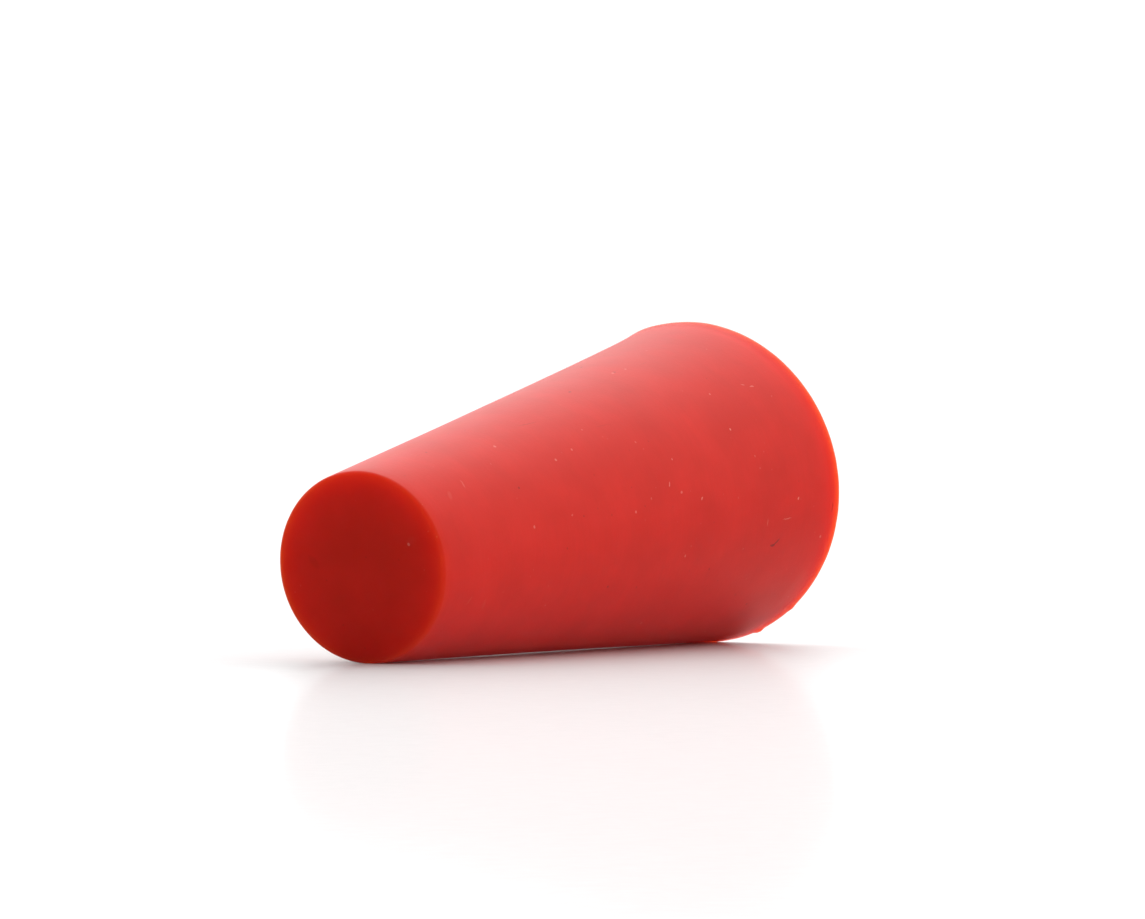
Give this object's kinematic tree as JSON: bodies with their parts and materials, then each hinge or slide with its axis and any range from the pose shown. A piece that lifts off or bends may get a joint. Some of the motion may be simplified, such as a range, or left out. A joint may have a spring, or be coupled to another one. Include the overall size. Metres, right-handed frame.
{
  "type": "rubber stopper",
  "caption": "Small solid red rubber stopper: a plain tapered plug with a flat wide end, a flat narrow end and a very slightly hollow wall.",
  "frame": {"origin": "centre of the wide end's flat face, on which the stopper stands", "axes": "+Z along the stopper's own axis, from the wide end to the narrow end; X and Y are any two directions across it"},
  "size_m": [0.0124, 0.0124, 0.025],
  "materials": {
    "red_rubber": "satin moulded red rubber, a little translucent at thin edges"
  },
  "bodies": {
    "root": {"stopper": "red_rubber"}
  },
  "joints": []
}
